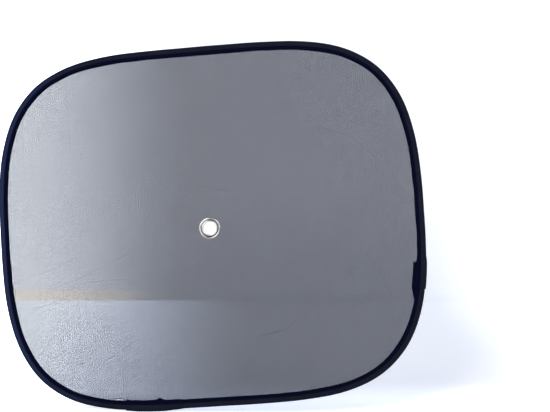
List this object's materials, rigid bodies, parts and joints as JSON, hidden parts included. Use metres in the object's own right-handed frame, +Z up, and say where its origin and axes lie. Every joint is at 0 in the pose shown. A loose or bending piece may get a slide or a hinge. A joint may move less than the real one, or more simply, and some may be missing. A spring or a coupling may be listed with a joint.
{
  "type": "car side window sunshade",
  "caption": "Fine mesh sun screen for a car's side window, held flat by a spring wire hoop in a bound edge, with a metal eyelet for a suction cup.",
  "frame": {"origin": "centre of the eyelet, in the middle plane of the mesh", "axes": "+X across the panel's width, +Z up, -Y out of the face that looks into the car"},
  "size_m": [0.44, 0.006, 0.3712],
  "materials": {
    "mesh": "fine see-through black polyester mesh",
    "binding": "matt woven tape, black with a dark blue cast",
    "spring_steel": "drawn spring wire",
    "nickel": "bright nickel plate"
  },
  "bodies": {
    "root": {"mesh_panel": "mesh", "edge_binding": "binding", "closing_binding": "binding", "spring_hoop": "spring_steel", "hoop_ferrule": "spring_steel", "eyelet": "nickel", "eyelet_washer": "nickel"}
  },
  "joints": []
}
